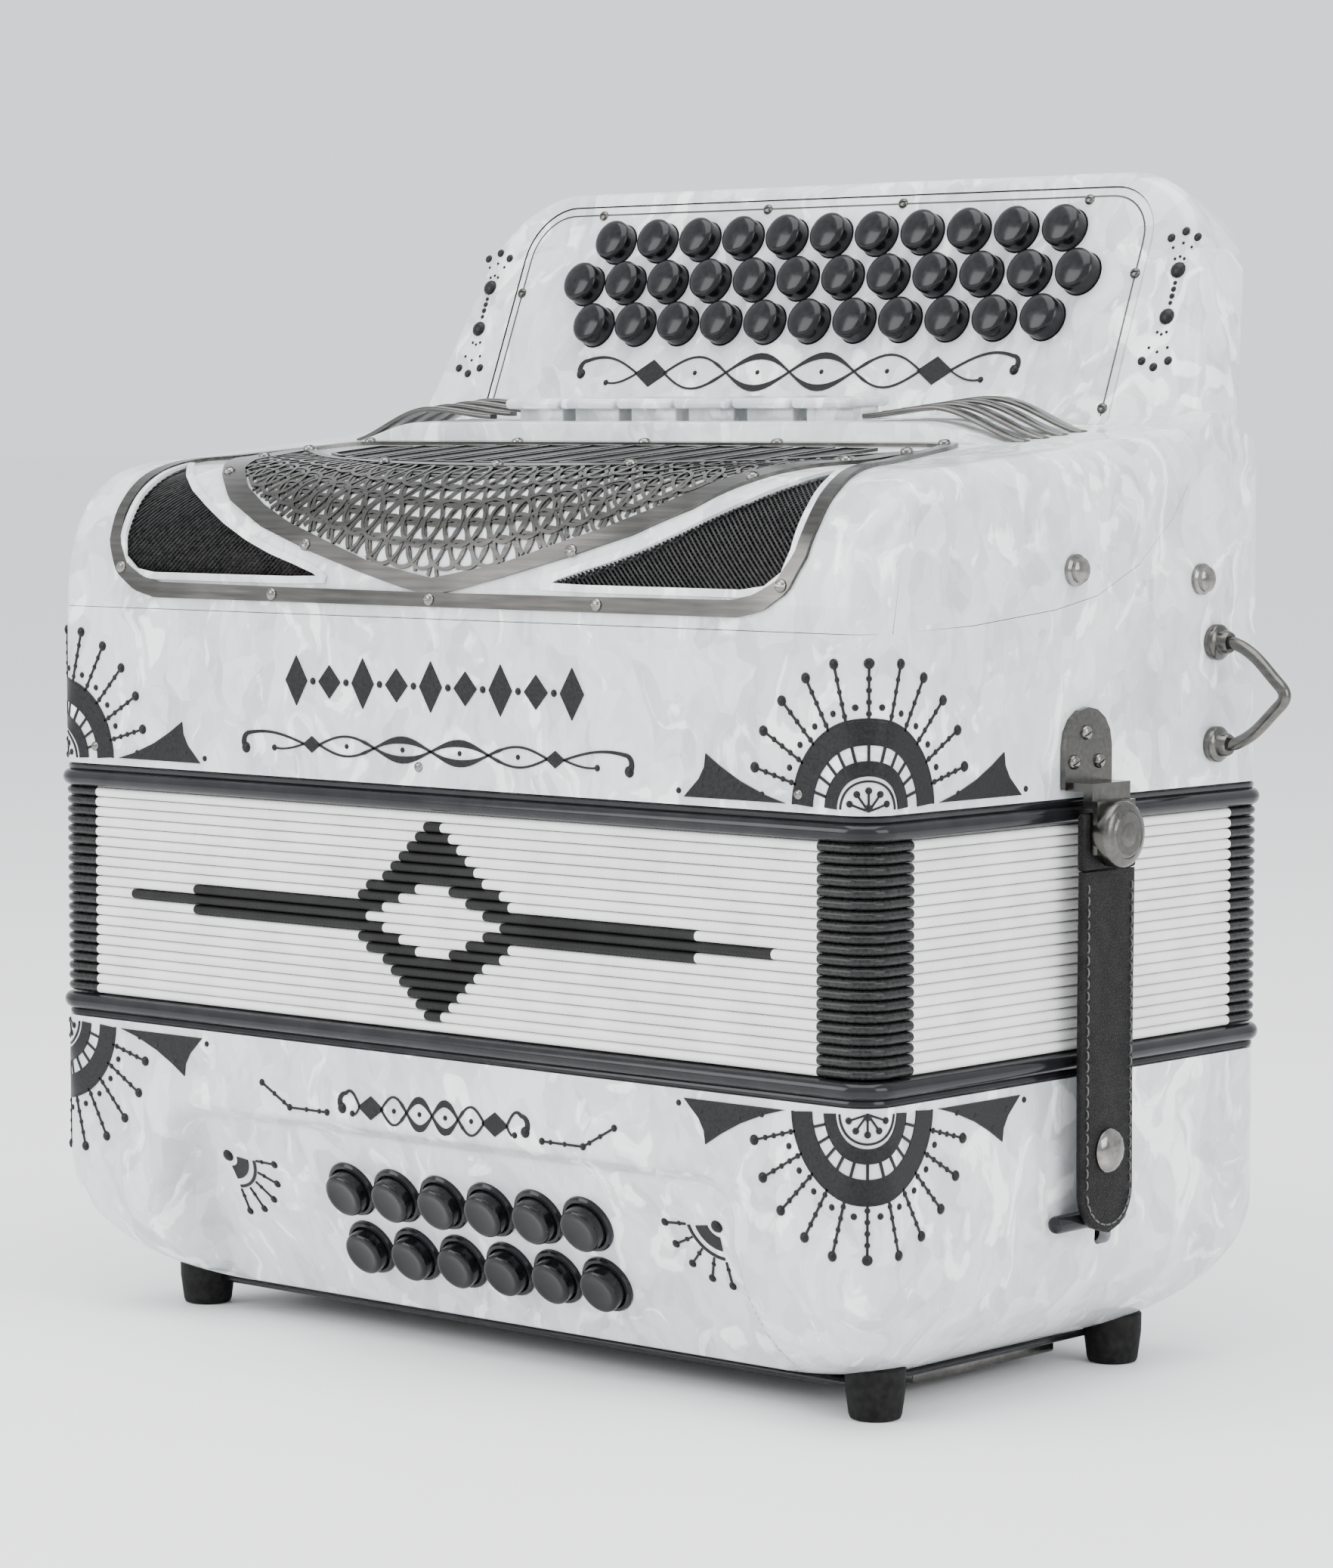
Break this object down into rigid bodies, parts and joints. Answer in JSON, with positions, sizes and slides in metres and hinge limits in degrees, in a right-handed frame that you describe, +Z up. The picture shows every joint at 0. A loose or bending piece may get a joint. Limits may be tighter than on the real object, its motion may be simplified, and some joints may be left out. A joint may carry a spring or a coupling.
{
  "type": "diatonic button accordion",
  "caption": "Button accordion standing on its bass end: treble casing with sloping keyboard, folding bellows, bass casing, rocking registers, bellows straps and an air lever.",
  "frame": {"origin": "on the floor that the feet stand on, under the middle of the whole outline", "axes": "+Z up from the bass end to the treble end, -Y the decorated front, +X the end with the air lever"},
  "size_m": [0.3842, 0.213, 0.3564],
  "materials": {
    "pearl": "polished",
    "black_gloss": "gloss",
    "nickel": "polished",
    "leather": "satin",
    "rubber": "matte",
    "bellows_card": "matte",
    "wood": "satin"
  },
  "bodies": {
    "bass": {"bass_casing": "pearl", "bass_end_plate": "rubber", "bass_bellows_frame": "black_gloss", "bellows": "bellows_card", "hand_strap": "leather"},
    "treble": {"treble_bellows_frame": "black_gloss", "treble_casing": "pearl", "treble_action": "wood", "grille_cover": "pearl", "grille_fretwork": "nickel", "fingerboard": "pearl", "strap_hanger_right": "nickel", "strap_hanger_left": "nickel", "shoulder_bail_right": "nickel", "shoulder_bail_left": "nickel"},
    "strap_right": {"bellows_strap_right": "leather"},
    "strap_left": {"bellows_strap_left": "leather"},
    "air_lever": {"air_lever": "black_gloss"},
    "register_1": {"register_switch_1": "pearl"},
    "register_2": {"register_switch_2": "pearl"},
    "register_3": {"register_switch_3": "pearl"},
    "register_4": {"register_switch_4": "pearl"},
    "register_5": {"register_switch_5": "pearl"},
    "register_6": {"register_switch_6": "pearl"},
    "bass_row_upper": {"bass_buttons_upper": "black_gloss"},
    "bass_row_lower": {"bass_buttons_lower": "black_gloss"},
    "key_01": {"treble_button_01": "black_gloss"},
    "key_02": {"treble_button_02": "black_gloss"},
    "key_03": {"treble_button_03": "black_gloss"},
    "key_04": {"treble_button_04": "black_gloss"},
    "key_05": {"treble_button_05": "black_gloss"},
    "key_06": {"treble_button_06": "black_gloss"},
    "key_07": {"treble_button_07": "black_gloss"},
    "key_08": {"treble_button_08": "black_gloss"},
    "key_09": {"treble_button_09": "black_gloss"},
    "key_10": {"treble_button_10": "black_gloss"},
    "key_11": {"treble_button_11": "black_gloss"},
    "key_12": {"treble_button_12": "black_gloss"},
    "key_13": {"treble_button_13": "black_gloss"},
    "key_14": {"treble_button_14": "black_gloss"},
    "key_15": {"treble_button_15": "black_gloss"},
    "key_16": {"treble_button_16": "black_gloss"},
    "key_17": {"treble_button_17": "black_gloss"},
    "key_18": {"treble_button_18": "black_gloss"},
    "key_19": {"treble_button_19": "black_gloss"},
    "key_20": {"treble_button_20": "black_gloss"},
    "key_21": {"treble_button_21": "black_gloss"},
    "key_22": {"treble_button_22": "black_gloss"},
    "key_23": {"treble_button_23": "black_gloss"},
    "key_24": {"treble_button_24": "black_gloss"},
    "key_25": {"treble_button_25": "black_gloss"},
    "key_26": {"treble_button_26": "black_gloss"},
    "key_27": {"treble_button_27": "black_gloss"},
    "key_28": {"treble_button_28": "black_gloss"},
    "key_29": {"treble_button_29": "black_gloss"},
    "key_30": {"treble_button_30": "black_gloss"},
    "key_31": {"treble_button_31": "black_gloss"},
    "key_32": {"treble_button_32": "black_gloss"},
    "key_33": {"treble_button_33": "black_gloss"},
    "key_34": {"treble_button_34": "black_gloss"}
  },
  "joints": [
    {"name": "bellows_open", "type": "slide", "parent": "bass", "child": "treble", "axis": [0, 0, 1], "range_m": [0, 0.3], "deforming": ["bellows"]},
    {"name": "strap_right_swing", "type": "hinge", "parent": "treble", "child": "strap_right", "pos_m": [0.1728, -0.00822, 0.1515], "axis": [0, -1, 0], "range_deg": [0, 95]},
    {"name": "strap_left_swing", "type": "hinge", "parent": "treble", "child": "strap_left", "pos_m": [-0.1728, -0.00822, 0.1515], "axis": [0, 1, 0], "range_deg": [0, 95]},
    {"name": "air_lever_press", "type": "hinge", "parent": "bass", "child": "air_lever", "pos_m": [0.151, 0.00178, 0.053], "axis": [0, 1, 0], "range_deg": [0, 10], "stiffness_Nm_per_rad": 1.5, "springref_deg": -5.73},
    {"name": "register_1_rock", "type": "hinge", "parent": "treble", "child": "register_1", "pos_m": [-0.059, 0.01978, 0.284], "axis": [1, 0, 0], "range_deg": [0, 7], "stiffness_Nm_per_rad": 0.4, "springref_deg": -5.73},
    {"name": "register_2_rock", "type": "hinge", "parent": "treble", "child": "register_2", "pos_m": [-0.0354, 0.01978, 0.284], "axis": [1, 0, 0], "range_deg": [0, 7], "stiffness_Nm_per_rad": 0.4, "springref_deg": -5.73},
    {"name": "register_3_rock", "type": "hinge", "parent": "treble", "child": "register_3", "pos_m": [-0.0118, 0.01978, 0.284], "axis": [1, 0, 0], "range_deg": [0, 7], "stiffness_Nm_per_rad": 0.4, "springref_deg": -5.73},
    {"name": "register_4_rock", "type": "hinge", "parent": "treble", "child": "register_4", "pos_m": [0.0118, 0.01978, 0.284], "axis": [1, 0, 0], "range_deg": [0, 7], "stiffness_Nm_per_rad": 0.4, "springref_deg": -5.73},
    {"name": "register_5_rock", "type": "hinge", "parent": "treble", "child": "register_5", "pos_m": [0.0354, 0.01978, 0.284], "axis": [1, 0, 0], "range_deg": [0, 7], "stiffness_Nm_per_rad": 0.4, "springref_deg": -5.73},
    {"name": "register_6_rock", "type": "hinge", "parent": "treble", "child": "register_6", "pos_m": [0.059, 0.01978, 0.284], "axis": [1, 0, 0], "range_deg": [0, 7], "stiffness_Nm_per_rad": 0.4, "springref_deg": -5.73},
    {"name": "bass_row_upper_press", "type": "slide", "parent": "bass", "child": "bass_row_upper", "axis": [0, 0.9119, 0.4104], "range_m": [0, 0.004], "stiffness_N_per_m": 300, "springref_m": -0.004},
    {"name": "bass_row_lower_press", "type": "slide", "parent": "bass", "child": "bass_row_lower", "axis": [0, 0.9119, 0.4104], "range_m": [0, 0.004], "stiffness_N_per_m": 300, "springref_m": -0.004},
    {"name": "key_01_press", "type": "slide", "parent": "treble", "child": "key_01", "axis": [0, 0.9285, -0.3714], "range_m": [0, 0.003], "stiffness_N_per_m": 100, "springref_m": -0.003},
    {"name": "key_02_press", "type": "slide", "parent": "treble", "child": "key_02", "axis": [0, 0.9285, -0.3714], "range_m": [0, 0.003], "stiffness_N_per_m": 100, "springref_m": -0.003},
    {"name": "key_03_press", "type": "slide", "parent": "treble", "child": "key_03", "axis": [0, 0.9285, -0.3714], "range_m": [0, 0.003], "stiffness_N_per_m": 100, "springref_m": -0.003},
    {"name": "key_04_press", "type": "slide", "parent": "treble", "child": "key_04", "axis": [0, 0.9285, -0.3714], "range_m": [0, 0.003], "stiffness_N_per_m": 100, "springref_m": -0.003},
    {"name": "key_05_press", "type": "slide", "parent": "treble", "child": "key_05", "axis": [0, 0.9285, -0.3714], "range_m": [0, 0.003], "stiffness_N_per_m": 100, "springref_m": -0.003},
    {"name": "key_06_press", "type": "slide", "parent": "treble", "child": "key_06", "axis": [0, 0.9285, -0.3714], "range_m": [0, 0.003], "stiffness_N_per_m": 100, "springref_m": -0.003},
    {"name": "key_07_press", "type": "slide", "parent": "treble", "child": "key_07", "axis": [0, 0.9285, -0.3714], "range_m": [0, 0.003], "stiffness_N_per_m": 100, "springref_m": -0.003},
    {"name": "key_08_press", "type": "slide", "parent": "treble", "child": "key_08", "axis": [0, 0.9285, -0.3714], "range_m": [0, 0.003], "stiffness_N_per_m": 100, "springref_m": -0.003},
    {"name": "key_09_press", "type": "slide", "parent": "treble", "child": "key_09", "axis": [0, 0.9285, -0.3714], "range_m": [0, 0.003], "stiffness_N_per_m": 100, "springref_m": -0.003},
    {"name": "key_10_press", "type": "slide", "parent": "treble", "child": "key_10", "axis": [0, 0.9285, -0.3714], "range_m": [0, 0.003], "stiffness_N_per_m": 100, "springref_m": -0.003},
    {"name": "key_11_press", "type": "slide", "parent": "treble", "child": "key_11", "axis": [0, 0.9285, -0.3714], "range_m": [0, 0.003], "stiffness_N_per_m": 100, "springref_m": -0.003},
    {"name": "key_12_press", "type": "slide", "parent": "treble", "child": "key_12", "axis": [0, 0.9285, -0.3714], "range_m": [0, 0.003], "stiffness_N_per_m": 100, "springref_m": -0.003},
    {"name": "key_13_press", "type": "slide", "parent": "treble", "child": "key_13", "axis": [0, 0.9285, -0.3714], "range_m": [0, 0.003], "stiffness_N_per_m": 100, "springref_m": -0.003},
    {"name": "key_14_press", "type": "slide", "parent": "treble", "child": "key_14", "axis": [0, 0.9285, -0.3714], "range_m": [0, 0.003], "stiffness_N_per_m": 100, "springref_m": -0.003},
    {"name": "key_15_press", "type": "slide", "parent": "treble", "child": "key_15", "axis": [0, 0.9285, -0.3714], "range_m": [0, 0.003], "stiffness_N_per_m": 100, "springref_m": -0.003},
    {"name": "key_16_press", "type": "slide", "parent": "treble", "child": "key_16", "axis": [0, 0.9285, -0.3714], "range_m": [0, 0.003], "stiffness_N_per_m": 100, "springref_m": -0.003},
    {"name": "key_17_press", "type": "slide", "parent": "treble", "child": "key_17", "axis": [0, 0.9285, -0.3714], "range_m": [0, 0.003], "stiffness_N_per_m": 100, "springref_m": -0.003},
    {"name": "key_18_press", "type": "slide", "parent": "treble", "child": "key_18", "axis": [0, 0.9285, -0.3714], "range_m": [0, 0.003], "stiffness_N_per_m": 100, "springref_m": -0.003},
    {"name": "key_19_press", "type": "slide", "parent": "treble", "child": "key_19", "axis": [0, 0.9285, -0.3714], "range_m": [0, 0.003], "stiffness_N_per_m": 100, "springref_m": -0.003},
    {"name": "key_20_press", "type": "slide", "parent": "treble", "child": "key_20", "axis": [0, 0.9285, -0.3714], "range_m": [0, 0.003], "stiffness_N_per_m": 100, "springref_m": -0.003},
    {"name": "key_21_press", "type": "slide", "parent": "treble", "child": "key_21", "axis": [0, 0.9285, -0.3714], "range_m": [0, 0.003], "stiffness_N_per_m": 100, "springref_m": -0.003},
    {"name": "key_22_press", "type": "slide", "parent": "treble", "child": "key_22", "axis": [0, 0.9285, -0.3714], "range_m": [0, 0.003], "stiffness_N_per_m": 100, "springref_m": -0.003},
    {"name": "key_23_press", "type": "slide", "parent": "treble", "child": "key_23", "axis": [0, 0.9285, -0.3714], "range_m": [0, 0.003], "stiffness_N_per_m": 100, "springref_m": -0.003},
    {"name": "key_24_press", "type": "slide", "parent": "treble", "child": "key_24", "axis": [0, 0.9285, -0.3714], "range_m": [0, 0.003], "stiffness_N_per_m": 100, "springref_m": -0.003},
    {"name": "key_25_press", "type": "slide", "parent": "treble", "child": "key_25", "axis": [0, 0.9285, -0.3714], "range_m": [0, 0.003], "stiffness_N_per_m": 100, "springref_m": -0.003},
    {"name": "key_26_press", "type": "slide", "parent": "treble", "child": "key_26", "axis": [0, 0.9285, -0.3714], "range_m": [0, 0.003], "stiffness_N_per_m": 100, "springref_m": -0.003},
    {"name": "key_27_press", "type": "slide", "parent": "treble", "child": "key_27", "axis": [0, 0.9285, -0.3714], "range_m": [0, 0.003], "stiffness_N_per_m": 100, "springref_m": -0.003},
    {"name": "key_28_press", "type": "slide", "parent": "treble", "child": "key_28", "axis": [0, 0.9285, -0.3714], "range_m": [0, 0.003], "stiffness_N_per_m": 100, "springref_m": -0.003},
    {"name": "key_29_press", "type": "slide", "parent": "treble", "child": "key_29", "axis": [0, 0.9285, -0.3714], "range_m": [0, 0.003], "stiffness_N_per_m": 100, "springref_m": -0.003},
    {"name": "key_30_press", "type": "slide", "parent": "treble", "child": "key_30", "axis": [0, 0.9285, -0.3714], "range_m": [0, 0.003], "stiffness_N_per_m": 100, "springref_m": -0.003},
    {"name": "key_31_press", "type": "slide", "parent": "treble", "child": "key_31", "axis": [0, 0.9285, -0.3714], "range_m": [0, 0.003], "stiffness_N_per_m": 100, "springref_m": -0.003},
    {"name": "key_32_press", "type": "slide", "parent": "treble", "child": "key_32", "axis": [0, 0.9285, -0.3714], "range_m": [0, 0.003], "stiffness_N_per_m": 100, "springref_m": -0.003},
    {"name": "key_33_press", "type": "slide", "parent": "treble", "child": "key_33", "axis": [0, 0.9285, -0.3714], "range_m": [0, 0.003], "stiffness_N_per_m": 100, "springref_m": -0.003},
    {"name": "key_34_press", "type": "slide", "parent": "treble", "child": "key_34", "axis": [0, 0.9285, -0.3714], "range_m": [0, 0.003], "stiffness_N_per_m": 100, "springref_m": -0.003}
  ]
}
